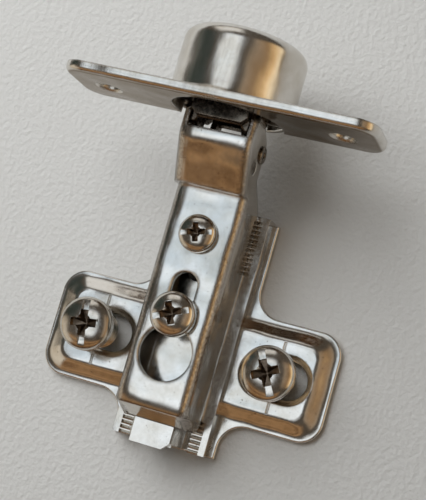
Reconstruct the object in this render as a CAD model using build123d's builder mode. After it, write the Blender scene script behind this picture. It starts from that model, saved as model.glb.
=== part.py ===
import os
from math import atan2, degrees, hypot
from build123d import *

# Frame in mm: origin midway between the plate's two screw slots on the mounting surface,
# +X along the arm to the cup, +Y to the left wing, +Z away from the mounting surface.

# Mounting plate
plate_sheet = 1.2
plate_edge_round = 0.3
hole_spacing = 32.0
wing_reach = 25.3
wing_depth = 18.6
wing_height = 2.5
wing_slope = 3.2
wing_side_slope = 2.9
wing_rim = 0.5
wing_corner = 4.0
wing_corner_loss = 1.7
wing_neck = 4.2
plateau_inner = 6.7
bar_front = 24.6
bar_rear = -15.7
bar_half = 9.2
rib_inner = 5.2
rib_outer = 8.2
rib_height = 4.0
rib_round = 0.9
tooth_pitch = 0.8
tooth_depth = 0.5
tooth_width = 1.9
hat_half = 3.4
hat_height = 8.5
hat_rear = -16.3
hat_round = 0.7
slot_length = 10.8
slot_width = 6.4
slot_centre = 15.8
dish_width = 1.0
dish_depth = 0.6
mark_depth = 0.2

# Arm
arm_sheet = 1.1
arm_half = 6.2
arm_top = 13.6
arm_rear = -12.35
arm_wall_low = 4.1
arm_edge_round = 1.3
rear_lip_low = 8.65
rear_bend_x = -10.5
rear_bend_round = 2.2
crank_x = 25.85
crank_step = 15.7
step_round = 0.9
nose_top = 19.85
nose_shoulder_x = 33.0
shoulder_round = 4.0
nose_edge_round = 0.8
lip_x = 34.4
ear_front = 38.6
ear_round = 1.4
ear_low = 10.6
ear_toe = (35.8, 15.2)
ear_heel_x = 29.0
toe_round = 2.0
keyhole_x = -1.4
keyhole_radius = 4.5
keyhole_slot_front = 9.9
keyhole_slot_radius = 2.15
keyhole_rim_round = 0.25

# Screws; a turn is the driver slot's angle from +Y in degrees
fixing_x = 4.8
fixing_head_radius = 3.7
fixing_head_low = 14.1
fixing_head_height = 2.9
fixing_turn = 23.6
overlay_x = 18.4
overlay_head_radius = 3.1
overlay_head_low = 13.75
overlay_head_height = 2.2
overlay_turn = 13.8
machine_thread = 3.9
machine_hole = 4.0
neck_radius = 1.35
neck_slot = 3.2
neck_slot_rear = 13.0
plate_thread = 6.3
plate_core = 5.3
plate_screw_head_radius = 4.5
plate_screw_head_low = 8.3
plate_screw_head_height = 2.8
plate_screw_turns = (-81.8, -63.3)
thread_pitch = 1.1

# Links and pivots, as (x, z)
pivot_a1 = (30.68, 15.02)
pivot_a2 = (33.5, 12.6)
pivot_c1 = (40.29, 10.38)
pivot_c2 = (44.58, 10.63)
pin_radius = 1.1
pin_fit = 0.04
rivet_radius = 1.5
rivet_height = 0.4
link_sheet = 1.0
outer_link_half = 4.75
inner_link_half = 3.3
link_boss = 1.65

# Cup and flange
flange_x = 37.5
cup_z = 16.2
cup_radius = 10.3
cup_depth = 12.9
cup_wall = 0.9
cup_edge_round = 2.2
seat_gap = 0.3
rim_taper = 0.3
flange_roll = 0.95
flange_half = 26.2
flange_low = 12.6
flange_bridge = 1.15
flange_sheet = 1.0
flange_turn = 1.7
flange_corner = 3.6
flange_hole_y = 20.0
flange_hole_z = 19.2
flange_hole_radius = 1.9
mouth_corner = 2.0
rim_set_back = 1.1
link_notch_half = 4.3
link_notch_depth = 3.0

os.makedirs("parts", exist_ok=True)


def combi_recess(top_z, head_radius, depth):
    # A cross recess with a shallow straight driver slot through it
    with Locations((0, 0, top_z)):
        Box(1.12 * head_radius, 0.34 * head_radius, 2 * depth, mode=Mode.SUBTRACT)
        Box(0.34 * head_radius, 1.12 * head_radius, 2 * depth, mode=Mode.SUBTRACT)
        Box(0.27 * head_radius, 2.2 * head_radius, 0.8 * depth, mode=Mode.SUBTRACT)


def head_outline(start, head_radius, head_low, head_height):
    # From the shank's top out to the head's rim, over its rounded shoulder and back to the axis
    top = head_low + head_height
    wall = Polyline(start, (head_radius, head_low), (head_radius, head_low + 0.42 * head_height))
    shoulder = (0.88 * head_radius, head_low + 0.78 * head_height)
    dome = ThreePointArc(wall @ 1, shoulder, (0.56 * head_radius, top))
    Line(dome @ 1, (0, top))


# The plate is one pressed sheet: a cross of wings and bar, ribs with teeth and a raised hat
wing_half_x = wing_depth / 2
press_steps = (0.0, 0.25, 0.5, 0.75, 1.0)
with BuildPart() as mounting_plate:
    with BuildSketch(Plane.XY) as outline:
        with Locations(((bar_front + bar_rear) / 2, 0)):
            Rectangle(bar_front - bar_rear, 2 * bar_half)
        Rectangle(wing_depth, 2 * wing_reach)
        tips = outline.vertices().filter_by(lambda v: abs(v.Y) > wing_reach - 0.1)
        fillet(tips, wing_corner)
        necks = outline.vertices().filter_by(
            lambda v: abs(v.X) < wing_half_x + 0.1 and abs(v.Y) < bar_half + 0.1)
        fillet(necks, wing_neck)
    extrude(amount=plate_sheet)
    fillet(mounting_plate.faces().sort_by(Axis.Z)[-1].edges(), plate_edge_round)
    for side in (1, -1):
        # Each wing is pressed up in a soft S from its rim to a flat top, and is hollow below
        for step in press_steps:
            rise = step * step * (3 - 2 * step) * (wing_height - plate_sheet)
            reach = wing_reach - wing_rim - wing_slope * step
            with BuildSketch(Plane.XY.offset(plate_sheet + rise)) as level:
                with Locations((0, side * (plateau_inner + reach) / 2)):
                    Rectangle(wing_depth - 2 * (wing_rim + wing_side_slope * step), reach - plateau_inner)
                ends = level.vertices().filter_by(lambda v: abs(v.Y) > reach - 0.1)
                fillet(ends, wing_corner - wing_rim - wing_corner_loss * step)
        loft()
        with BuildSketch(Plane.XY) as hollow_low:
            with Locations((0, side * (bar_half + 0.4 + wing_reach - 1.3) / 2)):
                Rectangle(wing_depth - 2.6, wing_reach - 1.7 - bar_half)
            ends = hollow_low.vertices().filter_by(lambda v: abs(v.Y) > wing_reach - 2.0)
            fillet(ends, wing_corner - 1.2)
        with BuildSketch(Plane.XY.offset(wing_height - plate_sheet)) as hollow_top:
            with Locations((0, side * (bar_half + 0.4 + wing_reach - wing_slope - 1.3) / 2)):
                Rectangle(wing_depth - 2.6 - 2 * wing_slope, wing_reach - wing_slope - 1.7 - bar_half)
            ends = hollow_top.vertices().filter_by(lambda v: abs(v.Y) > wing_reach - wing_slope - 2.0)
            fillet(ends, wing_corner - 2.6)
        loft(mode=Mode.SUBTRACT)
        with BuildSketch(Plane.YZ.offset(bar_rear)) as rib:
            with Locations((side * (rib_inner + rib_outer) / 2, rib_height / 2)):
                Rectangle(rib_outer - rib_inner, rib_height)
            crest = rib.vertices().filter_by(
                lambda v: v.Z > rib_height - 0.1 and abs(v.Y) > rib_outer - 0.1)
            fillet(crest, rib_round)
        extrude(amount=bar_front + 0.4 - bar_rear)
        with Locations(((bar_front + bar_rear) / 2, side * (rib_inner + rib_outer) / 2, 1.3)):
            Box(2 * (bar_front - bar_rear), 0.6, 2.8, mode=Mode.SUBTRACT)
    with BuildSketch(Plane.YZ.offset(hat_rear)) as hat:
        with Locations((0, hat_height / 2)):
            Rectangle(2 * hat_half, hat_height)
        fillet(hat.vertices().filter_by(lambda v: v.Z > hat_height - 0.1), hat_round)
    extrude(amount=bar_front - hat_rear)
    with Locations(((bar_front + hat_rear) / 2, 0, (hat_height - plate_sheet) / 2)):
        Box(2 * (bar_front - hat_rear), 2 * (hat_half - plate_sheet), hat_height - plate_sheet,
            mode=Mode.SUBTRACT)
    # Only the hat's top runs on past the bar at the rear, with one clipped corner
    with Locations((hat_rear, 0, (hat_height - plate_sheet) / 2)):
        Box(2 * (bar_rear - hat_rear), 2 * bar_half, hat_height - plate_sheet, mode=Mode.SUBTRACT)
    with BuildSketch(Plane.XY.offset(hat_height - plate_sheet - 0.1)):
        with Locations((hat_rear, -hat_half)):
            Rectangle(hat_half / 2, hat_half / 2, rotation=45)
    extrude(amount=plate_sheet + 0.3, mode=Mode.SUBTRACT)
    # Slots with a dished rim and a scribed centre mark at either side
    for side in (1, -1):
        with BuildSketch(Plane.XY.offset(-0.5)):
            with Locations((0, side * slot_centre)):
                SlotOverall(slot_length, slot_width, rotation=90)
        extrude(amount=wing_height + 1.5, mode=Mode.SUBTRACT)
        with BuildSketch(Plane.XY.offset(wing_height - dish_depth)):
            with Locations((0, side * slot_centre)):
                SlotOverall(slot_length, slot_width, rotation=90)
        with BuildSketch(Plane.XY.offset(wing_height)):
            with Locations((0, side * slot_centre)):
                SlotOverall(slot_length + 2 * dish_width, slot_width + 2 * dish_width, rotation=90)
        loft(mode=Mode.SUBTRACT)
        mark_x = slot_width / 2 + dish_width + 0.9
        mark_y = side * hole_spacing / 2
        with Locations((mark_x, mark_y, wing_height), (-mark_x, mark_y, wing_height)):
            Box(1.9, 0.3, 2 * mark_depth, mode=Mode.SUBTRACT)
    # Teeth pressed into the inner half of each rib
    tooth_starts = [bar_front + 0.1 - tooth_pitch * i for i in range(1, 13)]
    tooth_starts += [bar_rear + 0.3 + tooth_pitch * i for i in range(7)]
    for start_y in (-(rib_inner + tooth_width), rib_inner):
        with BuildSketch(Plane.XZ.offset(-start_y - tooth_width)):
            with Locations(*[(x, rib_height) for x in tooth_starts]):
                Polygon((-0.34, 0.05), (0.0, -tooth_depth), (0.34, 0.05), align=None)
        extrude(amount=tooth_width, mode=Mode.SUBTRACT)
    # Tapped hole for the fixing screw and an open slot for the overlay screw's neck
    with Locations((fixing_x, 0, hat_height)):
        Cylinder(machine_hole / 2, 4, mode=Mode.SUBTRACT)
    with Locations(((bar_front + neck_slot_rear) / 2 + 1, 0, hat_height)):
        Box(bar_front - neck_slot_rear + 2, neck_slot, 4, mode=Mode.SUBTRACT)
    with Locations((neck_slot_rear, 0, hat_height)):
        Cylinder(neck_slot / 2, 4, mode=Mode.SUBTRACT)
mounting_plate.part.label = "mounting_plate"
export_step(mounting_plate.part, "parts/mounting_plate.step")

# Arm: a folded channel whose front is cranked up into a nose with two ears
with BuildPart() as hinge_arm:
    with BuildSketch(Plane.XZ) as channel_side:
        with BuildLine():
            Polyline((arm_rear, rear_lip_low), (rear_bend_x, arm_top), (crank_x + 1.2, arm_top),
                     (crank_x + 1.2, 7.9), (crank_x - 1.4, arm_wall_low), (arm_rear, arm_wall_low), close=True)
        make_face()
        fillet(channel_side.vertices().group_by(Axis.Z)[-1].sort_by(Axis.X)[0], rear_bend_round)
    extrude(amount=arm_half, both=True)
    folds = hinge_arm.edges().filter_by(
        lambda e: abs(abs(e.center().Y) - arm_half) < 0.01 and e.center().Z > rear_lip_low + 0.1
        and e.center().X < crank_x + 1.0)
    fillet(folds, arm_edge_round)
    with BuildPart() as nose:
        with BuildSketch(Plane.XZ) as nose_side:
            with BuildLine():
                Polyline((crank_x, arm_wall_low + 1.9), (crank_x, crank_step), (nose_shoulder_x, nose_top),
                         (ear_front, nose_top - 0.1), (ear_front, ear_toe[1]), (ear_toe[0], ear_low),
                         (ear_heel_x, ear_low), close=True)
            make_face()
            step = nose_side.vertices().filter_by(lambda v: v.X < crank_x + 0.1 and v.Z > ear_low)
            fillet(step, step_round)
            shoulder = nose_side.vertices().filter_by(lambda v: abs(v.X - nose_shoulder_x) < 0.1)
            fillet(shoulder, shoulder_round)
            ear = nose_side.vertices().filter_by(lambda v: abs(v.X - ear_front) < 0.1)
            fillet(ear, ear_round)
            toe = nose_side.vertices().filter_by(lambda v: abs(v.X - ear_toe[0]) < 0.1)
            fillet(toe, toe_round)
        extrude(amount=arm_half, both=True)
        brow = nose.edges().filter_by(
            lambda e: abs(abs(e.center().Y) - arm_half) < 0.01 and e.center().Z > crank_step - step_round
            and crank_x + 0.05 < e.center().X < ear_front - ear_round)
        fillet(brow, nose_edge_round)
    with BuildSketch(Plane.XZ) as inside:
        with BuildLine():
            Polyline((arm_rear - 2, arm_wall_low - 1), (arm_rear - 2, rear_lip_low),
                     (arm_rear + 1.17, rear_lip_low), (rear_bend_x + 0.75, arm_top - arm_sheet),
                     (crank_x + arm_sheet, arm_top - arm_sheet),
                     (crank_x + arm_sheet, crank_step - 0.6), (nose_shoulder_x + 0.3, nose_top - arm_sheet),
                     (lip_x, nose_top - arm_sheet), (lip_x, nose_top + 2), (ear_front + 4, nose_top + 2),
                     (ear_front + 4, arm_wall_low - 1), close=True)
        make_face()
        fillet(inside.vertices().filter_by(lambda v: abs(v.X - rear_bend_x - 0.75) < 0.05), arm_sheet)
    extrude(amount=arm_half - arm_sheet, both=True, mode=Mode.SUBTRACT)
    # Relief slits between the rear lip and the side walls
    for side in (1, -1):
        with Locations((arm_rear + 0.4, side * (arm_half - arm_sheet - 0.15), rear_lip_low + 0.95)):
            Box(2.4, 0.3, 4.4, mode=Mode.SUBTRACT)
    with BuildSketch(Plane.XY.offset(arm_top - 2)):
        with Locations((keyhole_x, 0)):
            Circle(keyhole_radius)
        with Locations(((keyhole_x + keyhole_slot_front) / 2, 0)):
            Rectangle(keyhole_slot_front - keyhole_x, 2 * keyhole_slot_radius)
        with Locations((keyhole_slot_front, 0)):
            Circle(keyhole_slot_radius)
    extrude(amount=3, mode=Mode.SUBTRACT)
    rim = hinge_arm.edges().filter_by(
        lambda e: abs(e.bounding_box().min.Z - arm_top) < 0.01
        and abs(e.center().Y) < arm_half - arm_edge_round - 0.1
        and keyhole_x - keyhole_radius - 0.1 < e.center().X < keyhole_slot_front + keyhole_slot_radius + 0.1)
    fillet(rim, keyhole_rim_round)
    with Locations((overlay_x, 0, arm_top)):
        Cylinder(machine_hole / 2, 4, mode=Mode.SUBTRACT)
    with BuildSketch(Plane.XZ):
        with Locations(pivot_a1, pivot_a2):
            Circle(pin_radius)
    extrude(amount=20, both=True, mode=Mode.SUBTRACT)
hinge_arm.part.label = "hinge_arm"
export_step(hinge_arm.part, "parts/hinge_arm.step")

# Fixing screw: clamps the arm on the plate, threaded in the hat
with BuildPart() as fixing_screw:
    with BuildSketch(Plane.XZ) as fixing_half:
        with BuildLine():
            shank = Polyline((0, fixing_head_low + fixing_head_height), (0, 3.2), (1.3, 3.2),
                             (machine_thread / 2, 3.9), (machine_thread / 2, fixing_head_low))
            head_outline(shank @ 1, fixing_head_radius, fixing_head_low, fixing_head_height)
        make_face()
    revolve(axis=Axis.Z)
    combi_recess(fixing_head_low + fixing_head_height, fixing_head_radius, 1.8)
fixing_screw.part.label = "fixing_screw"
fixing_screw.part.locate(Location((fixing_x, 0, 0), (0, 0, fixing_turn)))
export_step(fixing_screw.part, "parts/fixing_screw.step")

# Overlay screw: threaded in the arm, its necked tail held in the hat's open slot
with BuildPart() as overlay_screw:
    with BuildSketch(Plane.XZ) as overlay_half:
        with BuildLine():
            shank = Polyline((0, overlay_head_low + overlay_head_height), (0, 6.0), (1.5, 6.0), (1.85, 6.35),
                             (1.85, 6.95), (neck_radius, 6.95), (neck_radius, 8.9), (machine_thread / 2, 9.5),
                             (machine_thread / 2, overlay_head_low))
            head_outline(shank @ 1, overlay_head_radius, overlay_head_low, overlay_head_height)
        make_face()
    revolve(axis=Axis.Z)
    combi_recess(overlay_head_low + overlay_head_height, overlay_head_radius, 1.5)
overlay_screw.part.label = "overlay_screw"
overlay_screw.part.locate(Location((overlay_x, 0, 0), (0, 0, overlay_turn)))
export_step(overlay_screw.part, "parts/overlay_screw.step")

# Plate screws stand loose in the slots; their threads are drawn as rings
ring_points = []
ring_z = 1.7
while ring_z < plate_screw_head_low - 1.2:
    ring_points.append((plate_core / 2, ring_z))
    ring_points.append((plate_thread / 2, ring_z + thread_pitch * 0.42))
    ring_points.append((plate_thread / 2, ring_z + thread_pitch * 0.58))
    ring_z += thread_pitch
with BuildPart() as plate_screw_left:
    with BuildSketch(Plane.XZ) as plate_screw_half:
        with BuildLine():
            shank = Polyline((0, plate_screw_head_low + plate_screw_head_height), (0, 0.02), (1.6, 0.02),
                             *ring_points, (plate_core / 2, ring_z), (plate_core / 2, plate_screw_head_low))
            head_outline(shank @ 1, plate_screw_head_radius, plate_screw_head_low, plate_screw_head_height)
        make_face()
    revolve(axis=Axis.Z)
    combi_recess(plate_screw_head_low + plate_screw_head_height, plate_screw_head_radius, 2.0)
with BuildPart() as plate_screw_right:
    add(plate_screw_left.part)
plate_screw_left.part.label = "plate_screw_left"
plate_screw_left.part.locate(Location((0, hole_spacing / 2, 0), (0, 0, plate_screw_turns[0])))
export_step(plate_screw_left.part, "parts/plate_screw_left.step")
plate_screw_right.part.label = "plate_screw_right"
plate_screw_right.part.locate(Location((0, -hole_spacing / 2, 0), (0, 0, plate_screw_turns[1])))
export_step(plate_screw_right.part, "parts/plate_screw_right.step")

# Arm pins: the outer one ground flush, the inner one with riveted and dimpled heads
with BuildPart() as outer_arm_pin:
    with BuildSketch(Plane.XZ):
        with Locations(pivot_a1):
            Circle(pin_radius)
    extrude(amount=arm_half, both=True)
outer_arm_pin.part.label = "outer_arm_pin"
export_step(outer_arm_pin.part, "parts/outer_arm_pin.step")

with BuildPart() as inner_arm_pin:
    with BuildSketch(Plane.XZ):
        with Locations(pivot_a2):
            Circle(pin_radius)
    extrude(amount=arm_half, both=True)
    for side in (1, -1):
        rivet_y = side * (arm_half + rivet_height / 2)
        with Locations(Location((pivot_a2[0], rivet_y, pivot_a2[1]), (90, 0, 0))):
            Cylinder(rivet_radius, rivet_height)
    rivet_rims = inner_arm_pin.edges().filter_by(
        lambda e: abs(abs(e.center().Y) - arm_half - rivet_height) < 0.01)
    chamfer(rivet_rims, rivet_height / 2)
    for side in (1, -1):
        dimple_y = side * (arm_half + rivet_height)
        with Locations(Location((pivot_a2[0], dimple_y, pivot_a2[1]), (90, 0, 0))):
            Cylinder(0.4 * rivet_radius, rivet_height, mode=Mode.SUBTRACT)
inner_arm_pin.part.label = "inner_arm_pin"
export_step(inner_arm_pin.part, "parts/inner_arm_pin.step")

# Outer link: two cheeks that arch over the inner pin, joined by a folded web
with BuildPart() as outer_link:
    with BuildSketch(Plane.XZ) as cheek:
        with BuildLine():
            Polyline((30.3, 16.6), (34.3, 17.9), (36.1, 20.2), (36.15, 20.9), (38.6, 20.9), (40.2, 18.4),
                     (41.94, 10.4), (39.2, 9.2), (36.3, 13.4), (35.9, 15.3), (34.6, 16.1), (33.2, 15.7),
                     (31.8, 13.8), close=True)
        make_face()
        with Locations(pivot_a1, pivot_c1):
            Circle(link_boss)
        with Locations(pivot_a1, pivot_c1):
            Circle(pin_radius + pin_fit, mode=Mode.SUBTRACT)
    extrude(amount=outer_link_half, both=True)
    with BuildSketch(Plane.XZ) as between:
        with BuildLine():
            Polyline((28, 22), (36.0, 19.8), (38.0, 19.8), (39.1, 18.1), (39.7, 15.2), (44, 15.2), (44, 7),
                     (28, 7), close=True)
        make_face()
    extrude(amount=outer_link_half - link_sheet, both=True, mode=Mode.SUBTRACT)
    for side in (1, -1):
        with Locations((36.0, side * outer_link_half, 20.8)):
            Box(1.5, 1.5, 3.0, rotation=(0, 0, 45), mode=Mode.SUBTRACT)
outer_link.part.label = "outer_link"
export_step(outer_link.part, "parts/outer_link.step")

# Inner link: two cheeks and a web, with its cup end free to find the closing of the loop
with BuildPart() as inner_link:
    link_run = (pivot_c2[0] - pivot_a2[0], pivot_c2[1] - pivot_a2[1])
    link_angle = degrees(atan2(link_run[1], link_run[0]))
    with BuildSketch(Plane.XZ):
        with Locations(((pivot_a2[0] + pivot_c2[0]) / 2, (pivot_a2[1] + pivot_c2[1]) / 2)):
            SlotCenterToCenter(hypot(*link_run), 2.7, rotation=link_angle)
    extrude(amount=inner_link_half, both=True)
    with BuildSketch(Plane.XZ):
        with Locations(pivot_a2, pivot_c2):
            Circle(link_boss)
    extrude(amount=inner_link_half, both=True)
    with BuildSketch(Plane.XZ):
        with BuildLine():
            Polyline((30, 16), (37.2, 15), (38.4, 11.75), (42.0, 11.1), (47.5, 13), (47.5, 7), (42.2, 7),
                     (42.2, 10.6), (37.2, 11.5), (36.4, 9), (30, 9), close=True)
        make_face()
    extrude(amount=inner_link_half - link_sheet, both=True, mode=Mode.SUBTRACT)
    with BuildSketch(Plane.XZ):
        with Locations(pivot_a2):
            Circle(pin_radius + pin_fit)
        with Locations(pivot_c2):
            Circle(pin_radius + 2 * pin_fit)
    extrude(amount=10, both=True, mode=Mode.SUBTRACT)
inner_link.part.label = "inner_link"
export_step(inner_link.part, "parts/inner_link.step")

# Closing spring: a bent strip round the inner arm pin, one leg up to the arm
with BuildPart() as closing_spring:
    with BuildSketch(Plane.XZ):
        with Locations(pivot_a2):
            Circle(pin_radius + 0.5)
            Circle(pin_radius, mode=Mode.SUBTRACT)
            with Locations((0, -3)):
                Rectangle(1.6, 6, mode=Mode.SUBTRACT)
        with BuildLine():
            Polyline((33.2, 13.7), (31.55, 17.7), (32.0, 17.92), (33.75, 13.9), close=True)
        make_face()
    extrude(amount=1.6, both=True)
closing_spring.part.label = "closing_spring"
export_step(closing_spring.part, "parts/closing_spring.step")

# Cup: drawn in one piece with its flange, the wings' edges turned towards the door
flange_top = cup_z + cup_radius - cup_wall + flange_bridge
flange_back = flange_x + flange_sheet
cup_end = flange_x + cup_depth
# The cup's straight wall starts just past the flange's turned edges, which rest on the door
wall_start = flange_x + flange_turn + seat_gap
drawn_radius = wall_start - flange_back
rim_run = wall_start - flange_x - rim_set_back
mouth_radius = cup_radius - cup_wall
mouth_half = (mouth_radius ** 2 - (cup_z - flange_low) ** 2) ** 0.5
with BuildPart() as hinge_cup:
    with BuildSketch(Plane.YZ.offset(flange_x)) as flange:
        with Locations((0, (flange_low + flange_top) / 2)):
            Rectangle(2 * flange_half, flange_top - flange_low)
        fillet(flange.vertices(), flange_corner)
    extrude(amount=flange_turn)
    fillet(hinge_cup.faces().sort_by(Axis.X)[0].edges(), flange_roll)
    with BuildSketch(Plane.YZ.offset(flange_back)) as tray:
        with Locations((0, (flange_low + flange_top) / 2)):
            Rectangle(2 * (flange_half - flange_sheet), flange_top - flange_low - 2 * flange_sheet)
        fillet(tray.vertices(), flange_corner - flange_sheet)
    extrude(amount=flange_turn, mode=Mode.SUBTRACT)
    with Locations(Location((flange_x + 0.2 + (cup_depth - 0.2) / 2, 0, cup_z), (0, 90, 0))):
        Cylinder(cup_radius, cup_depth - 0.2)
    bottom = hinge_cup.edges().filter_by(lambda e: e.bounding_box().min.X > cup_end - 0.01)
    fillet(bottom, cup_edge_round)
    # The drawing radius between the flange's back and the cup's wall
    with BuildPart(mode=Mode.PRIVATE) as draw_ring:
        with Locations(Location((flange_back + drawn_radius / 2, 0, cup_z), (0, 90, 0))):
            Cone(cup_radius + drawn_radius, cup_radius, drawn_radius)
        with Locations((flange_back, 0, flange_low - cup_radius)):
            Box(4 * drawn_radius, 4 * cup_radius, 2 * cup_radius, mode=Mode.SUBTRACT)
        with Locations((flange_back, 0, flange_top + cup_radius)):
            Box(4 * drawn_radius, 4 * cup_radius, 2 * cup_radius, mode=Mode.SUBTRACT)
    add(draw_ring.part)
    with Locations(Location((flange_x + (cup_depth - cup_wall) / 2, 0, cup_z), (0, 90, 0))):
        Cylinder(mouth_radius, cup_depth - cup_wall, mode=Mode.SUBTRACT)
    floor_edge = hinge_cup.edges().filter_by(
        lambda e: abs(e.center().X - cup_end + cup_wall) < 0.01 and e.bounding_box().size.Z > mouth_radius)
    fillet(floor_edge, cup_edge_round - cup_wall)
    # Below the flange the rim stands back, the wings' inner corners are round and the links get a notch
    with Locations((flange_x, 0, flange_low - cup_radius)):
        Box(2 * rim_set_back, 4 * cup_radius, 2 * cup_radius, mode=Mode.SUBTRACT)
    with BuildPart(mode=Mode.PRIVATE) as rim_cut:
        with Locations(Location((wall_start - rim_run / 2, 0, cup_z), (0, 90, 0))):
            Cylinder(cup_radius + 1, rim_run)
            Cone(cup_radius - rim_taper, cup_radius, rim_run, mode=Mode.SUBTRACT)
        with Locations((flange_x, 0, flange_low + cup_radius)):
            Box(4 * flange_turn, 4 * cup_radius, 2 * cup_radius, mode=Mode.SUBTRACT)
    add(rim_cut.part, mode=Mode.SUBTRACT)
    for side in (1, -1):
        with BuildSketch(Plane.YZ.offset(flange_x - 0.5)):
            with Locations((side * (mouth_half - 0.2 + mouth_corner / 2), flange_low + mouth_corner / 2)):
                Rectangle(mouth_corner, mouth_corner)
            with Locations((side * (mouth_half - 0.2 + mouth_corner), flange_low + mouth_corner)):
                Circle(mouth_corner, mode=Mode.SUBTRACT)
        extrude(amount=wall_start - flange_x + 0.5, mode=Mode.SUBTRACT)
    with Locations((flange_x, 0, cup_z - cup_radius)):
        Box(2 * link_notch_depth, 2 * link_notch_half, 0.8 * cup_radius, mode=Mode.SUBTRACT)
    for side in (1, -1):
        with Locations(Location((flange_x, side * flange_hole_y, flange_hole_z), (0, 90, 0))):
            Cylinder(flange_hole_radius, 6, mode=Mode.SUBTRACT)
            Cone(flange_hole_radius + 1.1, flange_hole_radius - 0.3, 1.4, mode=Mode.SUBTRACT)
    with BuildSketch(Plane.XZ):
        with Locations(pivot_c1, pivot_c2):
            Circle(pin_radius)
    extrude(amount=9.2, both=True, mode=Mode.SUBTRACT)
hinge_cup.part.label = "hinge_cup"
export_step(hinge_cup.part, "parts/hinge_cup.step")

# Cup pins: two short ones for the outer link, a through pin for the inner link
with BuildPart() as outer_cup_pin_left:
    with Locations(Location((pivot_c1[0], 5.55, pivot_c1[1]), (90, 0, 0))):
        Cylinder(pin_radius, 3.9)
outer_cup_pin_left.part.label = "outer_cup_pin_left"
export_step(outer_cup_pin_left.part, "parts/outer_cup_pin_left.step")

with BuildPart() as outer_cup_pin_right:
    with Locations(Location((pivot_c1[0], -5.55, pivot_c1[1]), (90, 0, 0))):
        Cylinder(pin_radius, 3.9)
outer_cup_pin_right.part.label = "outer_cup_pin_right"
export_step(outer_cup_pin_right.part, "parts/outer_cup_pin_right.step")

with BuildPart() as inner_cup_pin:
    with Locations(Location((pivot_c2[0], 0, pivot_c2[1]), (90, 0, 0))):
        Cylinder(pin_radius, 15.4)
inner_cup_pin.part.label = "inner_cup_pin"
export_step(inner_cup_pin.part, "parts/inner_cup_pin.step")
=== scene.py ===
import math

import bpy
from mathutils import Matrix, Vector


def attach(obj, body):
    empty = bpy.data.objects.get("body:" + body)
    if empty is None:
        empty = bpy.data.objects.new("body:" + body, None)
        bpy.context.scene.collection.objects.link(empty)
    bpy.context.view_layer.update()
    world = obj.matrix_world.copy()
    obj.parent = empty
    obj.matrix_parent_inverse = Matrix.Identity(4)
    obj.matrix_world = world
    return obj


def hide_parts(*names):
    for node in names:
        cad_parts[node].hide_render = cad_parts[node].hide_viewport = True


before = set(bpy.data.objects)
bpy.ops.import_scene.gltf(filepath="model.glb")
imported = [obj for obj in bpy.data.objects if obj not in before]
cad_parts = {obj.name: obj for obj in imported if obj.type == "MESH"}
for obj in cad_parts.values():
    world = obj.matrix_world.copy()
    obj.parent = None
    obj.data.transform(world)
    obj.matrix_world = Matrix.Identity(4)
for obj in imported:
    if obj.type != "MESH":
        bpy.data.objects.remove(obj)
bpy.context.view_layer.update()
mm = 0.001
scene = bpy.context.scene
scene.view_settings.view_transform = "Standard"
print("stage: frame loaded,", len(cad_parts), "nodes")


def toLinear(hexColour):
    parts = [int(hexColour[i:i + 2], 16) / 255 for i in (1, 3, 5)]
    return [p / 12.92 if p <= 0.04045 else ((p + 0.055) / 1.055) ** 2.4 for p in parts] + [1.0]


# A setting goes to the socket of that name or number, to a ramp's stops, or else to the node itself
def addNode(tree, kind, settings=None, links=None):
    node = tree.nodes.new(kind)
    for key, value in (settings or {}).items():
        if key == "stops":
            elements = node.color_ramp.elements
            while len(elements) < len(value):
                elements.new(0.5)
            for element, (place, hexColour) in zip(elements, value):
                element.position = place
                element.color = toLinear(hexColour)
        elif isinstance(key, int) or key in node.inputs:
            node.inputs[key].default_value = value
        else:
            setattr(node, key, value)
    for key, socket in (links or {}).items():
        tree.links.new(socket, node.inputs[key])
    return node


# Nickel plate over pressed steel: a warm grey mirror dulled by the press, with fine pits in the
# plating and faint clouds of handling. Where the sheet was drawn it has lines along the draw, and
# on the outside of a sharp fold the stretched steel turns grainy and darker.
# Pits, grain and specks are drawn coarser than real ones, so that they show.
sheetFinish = {
    "nickel": "#E2DFDA", "cloud": "#CFC9BF", "patchSize": 6.0 * mm, "cloudTo": 0.34, "nickelFrom": 0.6,
    "speck": "#85796B", "speckSize": 0.4 * mm, "speckFrom": 0.69, "speckSoft": 0.05,
    "pitSize": 0.3 * mm, "pitReach": 0.35, "pitShare": 0.45,
    "grainSize": 0.6 * mm, "drawStretch": (1.0, 1.0, 1.0),
    "grainLow": 0.3, "grainHigh": 0.7, "roughLow": 0.12, "roughHigh": 0.21,
    "bumpDepth": 0.004 * mm, "bumpStrength": 0.55, "waveSize": 7.0 * mm, "waveDepth": 0.5 * mm,
    # Softened edges, which stay crisp near the middle line where crispWithin is set
    "edgeRound": 0.22 * mm, "edgeSamples": 6,
    "crispWithin": 0.0, "crispFade": 1.0 * mm, "crispRound": 0.03 * mm,
    # The front with painted shade is found by its normal's X
    "paintedFrontShade": False, "frontShadeColour": "#82735F", "frontShadeFrom": -0.8, "frontShadeTo": -0.97,
    # Folds start between two distances from the middle line; walls are found by their normal's Y
    "folded": False, "foldFrom": 4.6 * mm, "foldTo": 5.4 * mm, "wallFrom": 0.9, "wallTo": 0.99,
    "foldColour": "#6E5A47", "foldGrain": 0.32 * mm, "foldRelief": 28.0,
    "rollFrom": 3.6 * mm, "rollTo": 6.2 * mm, "rollDepth": 0.45 * mm, "rollCurve": 2.0,
    "rearFrom": -8.1 * mm, "rearTo": -10.5 * mm,
}


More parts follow.
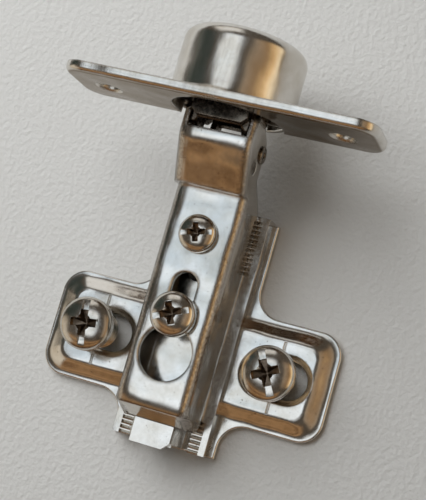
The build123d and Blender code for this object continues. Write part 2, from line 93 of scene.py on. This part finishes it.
def makeNickel(name, finish):
    material = bpy.data.materials.new(name)
    material.use_nodes = True
    tree = material.node_tree
    tree.nodes.clear()
    coords = addNode(tree, "ShaderNodeTexCoord")
    onPiece = {"Vector": coords.outputs["Object"]}
    if finish["paintedFrontShade"] or finish["folded"]:
        facing = addNode(tree, "ShaderNodeSeparateXYZ", {}, {"Vector": coords.outputs["Normal"]})
    if finish["folded"] or finish["crispWithin"] > 0:
        spot = addNode(tree, "ShaderNodeSeparateXYZ", {}, onPiece)
        aside = addNode(tree, "ShaderNodeMath", {"operation": "ABSOLUTE"}, {0: spot.outputs["Y"]})

    # Colour: clouds over the nickel, then a few dark specks
    patch = addNode(tree, "ShaderNodeTexNoise",
                    {"Scale": 1 / finish["patchSize"], "Detail": 4.0, "Roughness": 0.6}, onPiece)
    tintStops = [(finish["cloudTo"], finish["cloud"]), (finish["nickelFrom"], finish["nickel"])]
    tint = addNode(tree, "ShaderNodeValToRGB", {"stops": tintStops}, {"Fac": patch.outputs["Fac"]})
    specks = addNode(tree, "ShaderNodeTexNoise", {"Scale": 1 / finish["speckSize"], "Detail": 2.0}, onPiece)
    speckTo = finish["speckFrom"] + finish["speckSoft"]
    speckMask = addNode(tree, "ShaderNodeMapRange", {"From Min": finish["speckFrom"], "From Max": speckTo},
                        {"Value": specks.outputs["Fac"]})
    spotted = addNode(tree, "ShaderNodeMix", {"data_type": "RGBA", 7: toLinear(finish["speck"])},
                      {0: speckMask.outputs["Result"], 6: tint.outputs["Color"]})
    colour = spotted.outputs[2]

    # Mirror: grain along the draw and pits break it up
    stretch = addNode(tree, "ShaderNodeMapping", {"Scale": finish["drawStretch"]}, onPiece)
    grain = addNode(tree, "ShaderNodeTexNoise",
                    {"Scale": 1 / finish["grainSize"], "Detail": 5.0, "Roughness": 0.65},
                    {"Vector": stretch.outputs["Vector"]})
    rough = addNode(tree, "ShaderNodeMapRange",
                    {"From Min": finish["grainLow"], "From Max": finish["grainHigh"],
                     "To Min": finish["roughLow"], "To Max": finish["roughHigh"]},
                    {"Value": grain.outputs["Fac"]})
    pits = addNode(tree, "ShaderNodeTexVoronoi", {"Scale": 1 / finish["pitSize"]}, onPiece)
    pitRim = addNode(tree, "ShaderNodeMapRange", {"From Min": 0.0, "From Max": finish["pitReach"]},
                     {"Value": pits.outputs["Distance"]})
    height = addNode(tree, "ShaderNodeMath", {"operation": "MULTIPLY_ADD", 1: finish["pitShare"]},
                     {0: pitRim.outputs["Result"], 2: grain.outputs["Fac"]})
    relief = height.outputs["Value"]

    if finish["paintedFrontShade"]:
        # Painted shade: faces turned towards -X are coloured darker and browner, standing in for the shaded
        # floor they mirror
        frontShade = addNode(tree, "ShaderNodeMapRange",
                       {"From Min": finish["frontShadeFrom"], "From Max": finish["frontShadeTo"]},
                       {"Value": facing.outputs["X"]})
        frontShaded = addNode(tree, "ShaderNodeMix", {"data_type": "RGBA", 7: toLinear(finish["frontShadeColour"])},
                         {0: frontShade.outputs["Result"], 6: colour})
        colour = frontShaded.outputs[2]

    if finish["folded"]:
        # The long folds run along X at either side, and the flat walls below them stay smooth
        near = addNode(tree, "ShaderNodeMapRange",
                       {"From Min": finish["foldFrom"], "From Max": finish["foldTo"]},
                       {"Value": aside.outputs["Value"]})
        sideways = addNode(tree, "ShaderNodeMath", {"operation": "ABSOLUTE"}, {0: facing.outputs["Y"]})
        above = addNode(tree, "ShaderNodeMapRange",
                        {"From Min": finish["wallTo"], "From Max": finish["wallFrom"]},
                        {"Value": sideways.outputs["Value"]})
        fold = addNode(tree, "ShaderNodeMath", {"operation": "MULTIPLY"},
                       {0: near.outputs["Result"], 1: above.outputs["Result"]})
        crumb = addNode(tree, "ShaderNodeTexNoise",
                        {"Scale": 1 / finish["foldGrain"], "Detail": 2.0}, onPiece)
        stretched = addNode(tree, "ShaderNodeMath", {"operation": "MULTIPLY"},
                            {0: fold.outputs["Value"], 1: crumb.outputs["Fac"]})
        deeper = addNode(tree, "ShaderNodeMath", {"operation": "MULTIPLY_ADD", 1: finish["foldRelief"]},
                         {0: stretched.outputs["Value"], 2: relief})
        relief = deeper.outputs["Value"]
        darker = addNode(tree, "ShaderNodeMix", {"data_type": "RGBA", 7: toLinear(finish["foldColour"])},
                         {0: stretched.outputs["Value"], 6: colour})
        colour = darker.outputs[2]

    # Pressed edges catch the light over a small radius
    edge = addNode(tree, "ShaderNodeBevel",
                   {"samples": finish["edgeSamples"], "Radius": finish["edgeRound"]})
    shaped = edge.outputs["Normal"]
    if finish["crispWithin"] > 0:
        # The toothed ribs beside the plate's middle line keep their sharp edges
        softFrom = finish["crispWithin"] + finish["crispFade"]
        radius = addNode(tree, "ShaderNodeMapRange",
                         {"From Min": finish["crispWithin"], "From Max": softFrom,
                          "To Min": finish["crispRound"], "To Max": finish["edgeRound"]},
                         {"Value": aside.outputs["Value"]})
        tree.links.new(radius.outputs["Result"], edge.inputs["Radius"])

    if finish["folded"]:
        # The flats roll over a little before the side folds and the rear bend
        rolls = []
        for start, end, socket in (("rollFrom", "rollTo", aside.outputs["Value"]),
                                   ("rearFrom", "rearTo", spot.outputs["X"])):
            towards = addNode(tree, "ShaderNodeMapRange",
                              {"From Min": finish[start], "From Max": finish[end]}, {"Value": socket})
            rolls.append(addNode(tree, "ShaderNodeMath", {"operation": "POWER", 1: finish["rollCurve"]},
                                 {0: towards.outputs["Result"]}))
        roll = addNode(tree, "ShaderNodeMath", {"operation": "ADD"},
                       {0: rolls[0].outputs["Value"], 1: rolls[1].outputs["Value"]})
        rolled = addNode(tree, "ShaderNodeBump",
                         {"Strength": 1.0, "Distance": finish["rollDepth"], "invert": True},
                         {"Height": roll.outputs["Value"], "Normal": shaped})
        shaped = rolled.outputs["Normal"]

    # The press leaves the flats slightly wavy, so that what they mirror bends
    waves = addNode(tree, "ShaderNodeTexNoise", {"Scale": 1 / finish["waveSize"], "Detail": 1.0}, onPiece)
    sway = addNode(tree, "ShaderNodeBump", {"Strength": 1.0, "Distance": finish["waveDepth"]},
                   {"Height": waves.outputs["Fac"], "Normal": shaped})
    bump = addNode(tree, "ShaderNodeBump",
                   {"Strength": finish["bumpStrength"], "Distance": finish["bumpDepth"]},
                   {"Height": relief, "Normal": sway.outputs["Normal"]})
    shader = addNode(tree, "ShaderNodeBsdfPrincipled", {"Metallic": 1.0},
                     {"Base Color": colour, "Roughness": rough.outputs["Result"],
                      "Normal": bump.outputs["Normal"]})
    addNode(tree, "ShaderNodeOutputMaterial", {}, {"Surface": shader.outputs["BSDF"]})
    return material


# The plate is pressed with soft edges, and the arm is folded with wide ones
wingedNickel = makeNickel("wingedNickel", {**sheetFinish, "edgeRound": 0.3 * mm, "crispWithin": 8.6 * mm})
foldedNickel = makeNickel("foldedNickel", {**sheetFinish, "folded": True, "edgeRound": 0.9 * mm})
# The cup is deep drawn, so its lines run along its axis and its wall is the brightest surface
# Its front faces carry painted shade
drawnNickel = makeNickel("drawnNickel", {
    **sheetFinish, "drawStretch": (0.12, 1.0, 1.0), "roughLow": 0.13, "roughHigh": 0.26,
    "bumpDepth": 0.016 * mm, "speckFrom": 0.74, "paintedFrontShade": True, "edgeRound": 0.5 * mm})
# Turned and rolled screws keep a harder polish with only small pits
screwNickel = makeNickel("screwNickel", {
    **sheetFinish, "nickel": "#DDD9D3", "cloud": "#C6BFB4", "patchSize": 2.6 * mm,
    "roughLow": 0.11, "roughHigh": 0.24, "bumpDepth": 0.005 * mm, "edgeRound": 0.04 * mm})
# Painted shade in the cross recess: its faces are coloured dark and rougher, standing in for the shade deep
# in it
recessPaintedShade = makeNickel("recessPaintedShade", {
    **sheetFinish, "nickel": "#7C6E60", "cloud": "#544739", "patchSize": 0.8 * mm,
    "roughLow": 0.22, "roughHigh": 0.4, "edgeRound": 0.04 * mm})
# Drawn wire for the pins, coloured darker than the sheet round it
pinSteel = makeNickel("pinSteel", {
    **sheetFinish, "nickel": "#8F877C", "cloud": "#5F564B", "patchSize": 1.8 * mm,
    "roughLow": 0.2, "roughHigh": 0.36})
# The links are the same pressed sheet, coloured dark brown as painted shade where they sit between arm and
# cup
linkShadeNickel = makeNickel("linkShadeNickel", {
    **sheetFinish, "nickel": "#8A8074", "cloud": "#5A5046", "patchSize": 2.4 * mm,
    "roughLow": 0.18, "roughHigh": 0.34})
# Blued spring strip under a film of oil: near black with a faint warm sheen
springSteel = makeNickel("springSteel", {
    **sheetFinish, "nickel": "#6B6660", "cloud": "#4A433B", "patchSize": 2.0 * mm,
    "roughLow": 0.26, "roughHigh": 0.42})
print("stage: materials made")

nodeFinish = {
    "mounting_plate": (wingedNickel, "plated_sheet"), "hinge_arm": (foldedNickel, "plated_sheet"),
    "outer_link": (linkShadeNickel, "plated_sheet"), "inner_link": (linkShadeNickel, "plated_sheet"),
    "hinge_cup": (drawnNickel, "plated_sheet"), "fixing_screw": (screwNickel, "plated_screw"),
    "overlay_screw": (screwNickel, "plated_screw"), "plate_screw_left": (screwNickel, "plated_screw"),
    "plate_screw_right": (screwNickel, "plated_screw"), "outer_arm_pin": (pinSteel, "pin_steel"),
    "inner_arm_pin": (pinSteel, "pin_steel"), "outer_cup_pin_left": (pinSteel, "pin_steel"),
    "outer_cup_pin_right": (pinSteel, "pin_steel"), "inner_cup_pin": (pinSteel, "pin_steel"),
    "closing_spring": (springSteel, "spring_steel"),
}
for nodeName, (nodeMaterial, slotName) in nodeFinish.items():
    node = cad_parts[nodeName]
    node.data.materials.clear()
    node.data.materials.append(nodeMaterial)


def activate(obj):
    bpy.ops.object.select_all(action="DESELECT")
    obj.select_set(True)
    bpy.context.view_layer.objects.active = obj


def selectFaces(obj, test):
    bpy.ops.object.mode_set(mode="OBJECT")
    for v in obj.data.vertices:
        v.select = False
    for e in obj.data.edges:
        e.select = False
    for f in obj.data.polygons:
        f.select = test(f)
    bpy.ops.object.mode_set(mode="EDIT")
    bpy.ops.mesh.select_mode(type="FACE")


def applyModifier(obj, kind, settings):
    activate(obj)
    modifier = obj.modifiers.new(kind.lower(), kind)
    for key, value in settings.items():
        setattr(modifier, key, value)
    bpy.ops.object.modifier_apply(modifier=modifier.name)


def addBlock(size, place, turn):
    bpy.ops.object.select_all(action="DESELECT")
    bpy.ops.mesh.primitive_cube_add(size=1.0, location=place, rotation=(0, 0, turn))
    block = bpy.context.active_object
    block.scale = size
    bpy.ops.object.transform_apply(location=True, rotation=True, scale=True)
    return block


def cutAway(target, cutter):
    applyModifier(target, "BOOLEAN", {"operation": "DIFFERENCE", "solver": "EXACT", "object": cutter})
    bpy.data.objects.remove(cutter)


# Combination screws: a domed round head with a cross recess and a straight slot, sizes in mm.
# A turn is the slot's angle from +Y in degrees; a shank is its (radius, height) from the tip upwards.
plateShank = [(1.6, 0.03), (2.1, 0.6), (2.65, 1.7), (2.65, 8.4)]
plateThread = {"crest": 3.15, "core": 2.65, "pitch": 1.1, "low": 1.3, "turns": 5}
fixingShank = [(1.3, 3.2), (1.62, 3.7), (1.62, 14.2)]
fixingThread = {"crest": 1.94, "core": 1.62, "pitch": 0.7, "low": 4.1, "turns": 13}
overlayShank = [(1.5, 6.0), (1.85, 6.35), (1.85, 6.95), (1.35, 6.95), (1.35, 8.9), (1.62, 9.3),
                (1.62, 13.85)]
overlayThread = {"crest": 1.94, "core": 1.62, "pitch": 0.7, "low": 9.6, "turns": 5}
screws = {
    "plateScrewLeft": {"node": "plate_screw_left", "body": "plate", "x": 0.0, "y": 16.0, "turn": -81.8,
                       "headRadius": 4.5, "headLow": 8.3, "headHeight": 2.8, "recessDepth": 2.0,
                       "shank": plateShank, "thread": plateThread},
    "plateScrewRight": {"node": "plate_screw_right", "body": "plate", "x": 0.0, "y": -16.0, "turn": -63.3,
                        "headRadius": 4.5, "headLow": 8.3, "headHeight": 2.8, "recessDepth": 2.0,
                        "shank": plateShank, "thread": plateThread},
    "fixingScrew": {"node": "fixing_screw", "body": "fixing_screw", "x": 4.8, "y": 0.0, "turn": 23.6,
                    "headRadius": 3.7, "headLow": 14.1, "headHeight": 2.9, "recessDepth": 1.8,
                    "shank": fixingShank, "thread": fixingThread},
    "overlayScrew": {"node": "overlay_screw", "body": "overlay_screw", "x": 18.4, "y": 0.0, "turn": 13.8,
                     "headRadius": 3.1, "headLow": 13.75, "headHeight": 2.2, "recessDepth": 1.5,
                     "shank": overlayShank, "thread": overlayThread},
}
# What the four share. Lengths and widths are shares of the head's radius, the skirt's height is a share
# of the head's, the cutters' heights are shares of the recess's depth, and angles are in degrees.
screwShape = {
    "sides": 72, "skirtHigh": 0.42, "domeSteps": 14, "domeSweep": 84.0, "levelFrom": 0.9,
    "bladeLong": 1.14, "bladeWide": 0.34, "bladeHigh": 1.2, "bladeTaper": 0.82,
    "floorDrop": 0.4, "floorPoint": 0.12,
    "coneSides": 28, "coneTip": 0.02, "coneTop": 0.62, "coneHigh": 2.0,
    "slotWide": 0.27, "slotLong": 2.4, "slotHigh": 0.8,
    "edgeBevel": 0.09 * mm, "edgeSteps": 2, "edgeAngle": 38.0, "smoothAngle": 32.0,
    "darkReach": 0.6, "darkFrom": 0.3 * mm, "darkTo": 1.1, "shankSides": 48,
    # A thread's back lies this far inside the core, and half its foot is a share of the pitch
    "threadBury": 0.06, "threadFlank": 0.4, "threadSteps": 36, "weldWithin": 0.001 * mm,
}


def makeHead(name, screw, place):
    shape = screwShape
    radius, high = screw["headRadius"] * mm, screw["headHeight"] * mm
    low, deep = screw["headLow"] * mm, screw["recessDepth"] * mm
    turn = math.radians(screw["turn"])
    # A low disc whose top is stepped inwards and upwards into a dome
    skirt = shape["skirtHigh"] * high
    bpy.ops.object.select_all(action="DESELECT")
    bpy.ops.mesh.primitive_cylinder_add(vertices=shape["sides"], radius=radius, depth=skirt,
                                        location=place + Vector((0, 0, low + skirt / 2)))
    head = bpy.context.active_object
    head.name = name
    bpy.ops.object.transform_apply(location=True, rotation=True, scale=True)
    selectFaces(head, lambda f: f.normal.z > shape["levelFrom"])
    sweep = math.radians(shape["domeSweep"])
    rise = (high - skirt) / math.sin(sweep)
    for i in range(shape["domeSteps"]):
        start, end = sweep * i / shape["domeSteps"], sweep * (i + 1) / shape["domeSteps"]
        bpy.ops.mesh.inset(thickness=radius * (math.cos(start) - math.cos(end)),
                           depth=rise * (math.sin(end) - math.sin(start)))
    bpy.ops.object.mode_set(mode="OBJECT")
    # Two tapered blades with pointed ends cut the cross
    top = (place.x, place.y, low + high)
    bladeSize = (shape["bladeLong"] * radius, shape["bladeWide"] * radius, shape["bladeHigh"] * deep)
    taper, point = shape["bladeTaper"], shape["floorPoint"]
    drop = {"value": (0, 0, -shape["floorDrop"] * deep)}
    for quarter in (0.0, math.radians(90)):
        blade = addBlock(bladeSize, top, turn + quarter)
        selectFaces(blade, lambda f: f.normal.z < -shape["levelFrom"])
        bpy.ops.transform.resize(value=(taper, taper, 1.0), center_override=(place.x, place.y, 0))
        bpy.ops.mesh.extrude_region_move(TRANSFORM_OT_translate=drop)
        bpy.ops.transform.resize(value=(point, point, 1.0), center_override=(place.x, place.y, 0))
        bpy.ops.object.mode_set(mode="OBJECT")
        cutAway(head, blade)
    # A cone opens the middle, and a shallow straight slot runs through it
    bpy.ops.object.select_all(action="DESELECT")
    bpy.ops.mesh.primitive_cone_add(vertices=shape["coneSides"], radius1=shape["coneTip"] * radius,
                                    radius2=shape["coneTop"] * radius, depth=shape["coneHigh"] * deep,
                                    location=top)
    cone = bpy.context.active_object
    bpy.ops.object.transform_apply(location=True, rotation=True, scale=True)
    cutAway(head, cone)
    slotSize = (shape["slotWide"] * radius, shape["slotLong"] * radius, shape["slotHigh"] * deep)
    cutAway(head, addBlock(slotSize, top, turn))
    applyModifier(head, "BEVEL", {"width": shape["edgeBevel"], "segments": shape["edgeSteps"],
                                  "limit_method": "ANGLE", "angle_limit": math.radians(shape["edgeAngle"]),
                                  "use_clamp_overlap": True})
    return head


def makeShank(rings, place):
    # A disc drawn upwards from the tip, ring by ring
    radius, height = rings[0]
    bpy.ops.object.select_all(action="DESELECT")
    bpy.ops.mesh.primitive_circle_add(vertices=screwShape["shankSides"], radius=radius * mm,
                                      fill_type="NGON", location=place + Vector((0, 0, height * mm)))
    shank = bpy.context.active_object
    bpy.ops.object.transform_apply(location=True, rotation=True, scale=True)
    selectFaces(shank, lambda f: True)
    for nextRadius, nextHeight in rings[1:]:
        lift = {"value": (0, 0, (nextHeight - height) * mm)}
        bpy.ops.mesh.extrude_region_move(TRANSFORM_OT_translate=lift)
        grow = nextRadius / radius
        bpy.ops.transform.resize(value=(grow, grow, 1.0),
                                 center_override=(place.x, place.y, nextHeight * mm))
        radius, height = nextRadius, nextHeight
    bpy.ops.mesh.select_all(action="SELECT")
    bpy.ops.mesh.normals_make_consistent(inside=False)
    bpy.ops.object.mode_set(mode="OBJECT")
    return shank


def makeThread(sizes, place):
    # A triangle swept round the shank, its point outwards and its back inside the core
    bpy.ops.object.select_all(action="DESELECT")
    bpy.ops.mesh.primitive_circle_add(vertices=3, radius=sizes["pitch"] * mm, fill_type="NOTHING")
    thread = bpy.context.active_object
    crest, root = sizes["crest"] * mm, (sizes["core"] - screwShape["threadBury"]) * mm
    flank = screwShape["threadFlank"] * sizes["pitch"] * mm
    for v, (x, z) in zip(thread.data.vertices, ((crest, 0.0), (root, flank), (root, -flank))):
        v.co = (x, 0, z)
    applyModifier(thread, "SCREW", {"axis": "Z", "angle": math.tau, "screw_offset": sizes["pitch"] * mm,
                                    "iterations": sizes["turns"], "steps": screwShape["threadSteps"],
                                    "render_steps": screwShape["threadSteps"]})
    bpy.ops.object.mode_set(mode="EDIT")
    bpy.ops.mesh.select_all(action="SELECT")
    bpy.ops.mesh.remove_doubles(threshold=screwShape["weldWithin"])
    bpy.ops.mesh.select_all(action="DESELECT")
    bpy.ops.mesh.select_mode(type="EDGE")
    bpy.ops.mesh.select_non_manifold()
    bpy.ops.mesh.fill()
    bpy.ops.mesh.select_all(action="SELECT")
    bpy.ops.mesh.normals_make_consistent(inside=False)
    bpy.ops.object.mode_set(mode="OBJECT")
    thread.location = place + Vector((0, 0, sizes["low"] * mm))
    bpy.ops.object.transform_apply(location=True, rotation=True, scale=True)
    return thread


def paintRecessShade(head, screw, place):
    # Faces near the axis and well below the dome are the recess, and take the painted shade
    shape = screwShape
    deepest = shape["darkTo"] * screw["recessDepth"] * mm
    for f in head.data.polygons:
        reach = (f.center - place).to_2d().length / (screw["headRadius"] * mm)
        share = shape["skirtHigh"] + (1 - shape["skirtHigh"]) * math.sqrt(max(0.0, 1 - reach * reach))
        sunk = (screw["headLow"] + screw["headHeight"] * share) * mm - f.center.z
        inRecess = reach < shape["darkReach"] and shape["darkFrom"] < sunk < deepest
        f.material_index = 1 if inRecess else 0


for screwName, screw in screws.items():
    foot = Vector((screw["x"] * mm, screw["y"] * mm, 0))
    head = makeHead(screwName, screw, foot)
    shank = makeShank(screw["shank"], foot)
    thread = makeThread(screw["thread"], foot)
    activate(head)
    shank.select_set(True)
    thread.select_set(True)
    bpy.ops.object.join()
    bpy.ops.object.transform_apply(location=True, rotation=True, scale=True)
    bpy.ops.object.shade_smooth_by_angle(angle=math.radians(screwShape["smoothAngle"]))
    head.data.materials.clear()
    head.data.materials.append(screwNickel)
    head.data.materials.append(recessPaintedShade)
    paintRecessShade(head, screw, foot)
    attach(head, screw["body"])
    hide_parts(screw["node"])
print("stage: screws made")

# Studio: a pale floor, soft lamps above and to the top left of the picture, placed from the object's
# centre, and glowing cards for the metal to mirror. A card's stops run along its local X or Y, as a
# share of its length. It fades out like a soft box, between two such shares from its middle.
studio = {
    "floor": "#DBDAD6", "floorSize": 1.6, "floorRough": 0.75,
    "floorGrain": 0.9 * mm, "floorRelief": 0.26 * mm, "floorBump": 0.8, "lampTint": "#F9FCFF",
    "keySize": 0.5, "keyPower": 2.3, "keyPlace": (0.20, 0.24, 0.30),
    "fillSize": 0.5, "fillPower": 0.36, "fillPlace": (0.05, 0.12, 0.60),
    "worldGrey": "#9A8E80", "worldStrength": 0.26, "fadeFrom": 0.34, "fadeTo": 0.5,
}
centre = Vector((0.014, 0, 0.012))
# A level card lies flat overhead, and the others face the object
cards = {
    "skyCard": {"size": (0.46, 0.34), "place": (0.04, 0.095, 0.46), "level": True, "along": "X", "glow": 1.25,
                "stops": [(0.0, "#F4FAFF"), (0.39, "#F0F8FF"), (0.52, "#DCE9F4"), (0.61, "#B4C2CE"),
                          (0.67, "#DDE9F2"), (0.78, "#F6FBFF"), (1.0, "#DCE4EC")]},
    "brownCard": {"size": (0.84, 0.48), "place": (-0.33, 0.06, 0.16), "level": False,
                  "along": "Y", "glow": 1.0,
                  "stops": [(0.1, "#3A2A1E"), (0.39, "#6F5238"), (0.61, "#A8835C"), (0.70, "#7A5C40"),
                            (0.735, "#4E3B2A"), (0.765, "#8E6A48"), (0.80, "#B58E64"), (1.0, "#6A5848")]},
    "goldCard": {"size": (0.52, 0.50), "place": (0.05, -0.30, 0.20), "level": False,
                 "along": "Y", "glow": 1.2,
                 "stops": [(0.0, "#8C7356"), (0.22, "#FFEBC8"), (0.36, "#E0BA85"), (0.58, "#8A6F52"),
                           (1.0, "#9C8F7E")]},
    "darkCard": {"size": (0.22, 0.28), "place": (0.12, 0.30, 0.17), "level": False,
                 "along": "Y", "glow": 1.0,
                 "stops": [(0.0, "#8A8F88"), (0.2, "#3C423D"), (0.8, "#3A413E"), (1.0, "#566060")]},
    "paleCard": {"size": (0.34, 0.26), "place": (-0.12, 0.30, 0.10), "level": False,
                 "along": "Y", "glow": 1.0,
                 "stops": [(0.0, "#B8A88E"), (0.5, "#DDD3C2"), (1.0, "#B9AE9E")]},
    "windowCard": {"size": (0.30, 0.34), "place": (0.36, 0.14, 0.20), "level": False,
                   "along": "Y", "glow": 1.0,
                   "stops": [(0.0, "#C9C2B6"), (0.5, "#EEEDEA"), (1.0, "#D5D2CC")]},
}


# A pale tabletop with a fine leather-like grain, dull enough to show only soft shadows
def floorMaterial():
    material = bpy.data.materials.new("paleFloor")
    material.use_nodes = True
    tree = material.node_tree
    shader = tree.nodes["Principled BSDF"]
    shader.inputs["Base Color"].default_value = toLinear(studio["floor"])
    shader.inputs["Roughness"].default_value = studio["floorRough"]
    coords = addNode(tree, "ShaderNodeTexCoord")
    # Object coordinates of the unit plane are scaled back to metres
    metres = addNode(tree, "ShaderNodeMapping", {"Scale": (studio["floorSize"],) * 3},
                     {"Vector": coords.outputs["Object"]})
    grain = addNode(tree, "ShaderNodeTexNoise", {"Scale": 1 / studio["floorGrain"], "Detail": 3.0},
                    {"Vector": metres.outputs["Vector"]})
    bump = addNode(tree, "ShaderNodeBump",
                   {"Strength": studio["floorBump"], "Distance": studio["floorRelief"]},
                   {"Height": grain.outputs["Fac"]})
    tree.links.new(bump.outputs["Normal"], shader.inputs["Normal"])
    return material


def cardMaterial(name, along, strength, stops):
    material = bpy.data.materials.new(name)
    material.use_nodes = True
    tree = material.node_tree
    tree.nodes.clear()
    coords = addNode(tree, "ShaderNodeTexCoord")
    across = addNode(tree, "ShaderNodeSeparateXYZ", {}, {"Vector": coords.outputs["Object"]})
    share = addNode(tree, "ShaderNodeMapRange", {"From Min": -0.5, "From Max": 0.5},
                    {"Value": across.outputs[along]})
    ramp = addNode(tree, "ShaderNodeValToRGB", {"stops": stops}, {"Fac": share.outputs["Result"]})
    glow = addNode(tree, "ShaderNodeEmission", {"Strength": strength}, {"Color": ramp.outputs["Color"]})
    fades = []
    for axis in ("X", "Y"):
        offset = addNode(tree, "ShaderNodeMath", {"operation": "ABSOLUTE"}, {0: across.outputs[axis]})
        fades.append(addNode(tree, "ShaderNodeMapRange",
                             {"From Min": studio["fadeTo"], "From Max": studio["fadeFrom"]},
                             {"Value": offset.outputs["Value"]}))
    soft = addNode(tree, "ShaderNodeMath", {"operation": "MULTIPLY"},
                   {0: fades[0].outputs["Result"], 1: fades[1].outputs["Result"]})
    clear = addNode(tree, "ShaderNodeBsdfTransparent")
    blend = addNode(tree, "ShaderNodeMixShader", {},
                    {0: soft.outputs["Value"], 1: clear.outputs["BSDF"], 2: glow.outputs["Emission"]})
    addNode(tree, "ShaderNodeOutputMaterial", {}, {"Surface": blend.outputs["Shader"]})
    return material


def addPanel(name, size, place, material):
    bpy.ops.object.select_all(action="DESELECT")
    bpy.ops.mesh.primitive_plane_add(size=1.0, location=place)
    panel = bpy.context.active_object
    panel.name = name
    panel.scale = (size[0], size[1], 1.0)
    panel.data.materials.append(material)
    return panel


addPanel("floor", (studio["floorSize"],) * 2, (0, 0, 0), floorMaterial())
for cardName, c in cards.items():
    glowing = cardMaterial(cardName, c["along"], c["glow"], c["stops"])
    card = addPanel(cardName, c["size"], c["place"], glowing)
    if not c["level"]:
        card.rotation_euler = (Vector(c["place"]) - centre).to_track_quat("-Z", "Y").to_euler()
    # A card is only there to be mirrored
    card.visible_camera = False
    card.visible_diffuse = False
    card.visible_shadow = False


def addLamp(name, size, power, place):
    bpy.ops.object.light_add(type="AREA", location=place)
    lamp = bpy.context.active_object
    lamp.name = name
    lamp.data.size = size
    lamp.data.energy = power
    lamp.data.color = toLinear(studio["lampTint"])[:3]
    lamp.rotation_euler = (centre - place).to_track_quat("-Z", "Y").to_euler()
    # The cards stand in for the lamps in every mirror image
    lamp.visible_glossy = False


addLamp("keyLamp", studio["keySize"], studio["keyPower"], centre + Vector(studio["keyPlace"]))
addLamp("fillLamp", studio["fillSize"], studio["fillPower"], centre + Vector(studio["fillPlace"]))
world = bpy.data.worlds.new("studioWorld")
scene.world = world
world.use_nodes = True
background = world.node_tree.nodes["Background"]
background.inputs["Color"].default_value = toLinear(studio["worldGrey"])
background.inputs["Strength"].default_value = studio["worldStrength"]

# Camera at the photograph's angle, for an image 426 wide and 500 high; place, lens and sensor in mm
cameraSet = {"place": (-8.458, -65.770, 210.836), "right": (0.27627601, -0.92540035, -0.25943353),
             "up": (0.95359349, 0.23032429, 0.19393341), "back": (-0.11971221, -0.30097327, 0.94608883),
             "lens": 93.77, "sensor": 36.0, "clipNear": 0.001, "clipFar": 10.0}
bpy.ops.object.camera_add()
camera = bpy.context.active_object
camera.data.sensor_width = cameraSet["sensor"]
camera.data.lens = cameraSet["lens"]
camera.data.clip_start = cameraSet["clipNear"]
camera.data.clip_end = cameraSet["clipFar"]
turned = Matrix((cameraSet["right"], cameraSet["up"], cameraSet["back"])).transposed().to_4x4()
camera.matrix_world = Matrix.Translation(Vector(cameraSet["place"]) * mm) @ turned
scene.camera = camera
print("stage: studio and camera made")

bpy.context.view_layer.update()
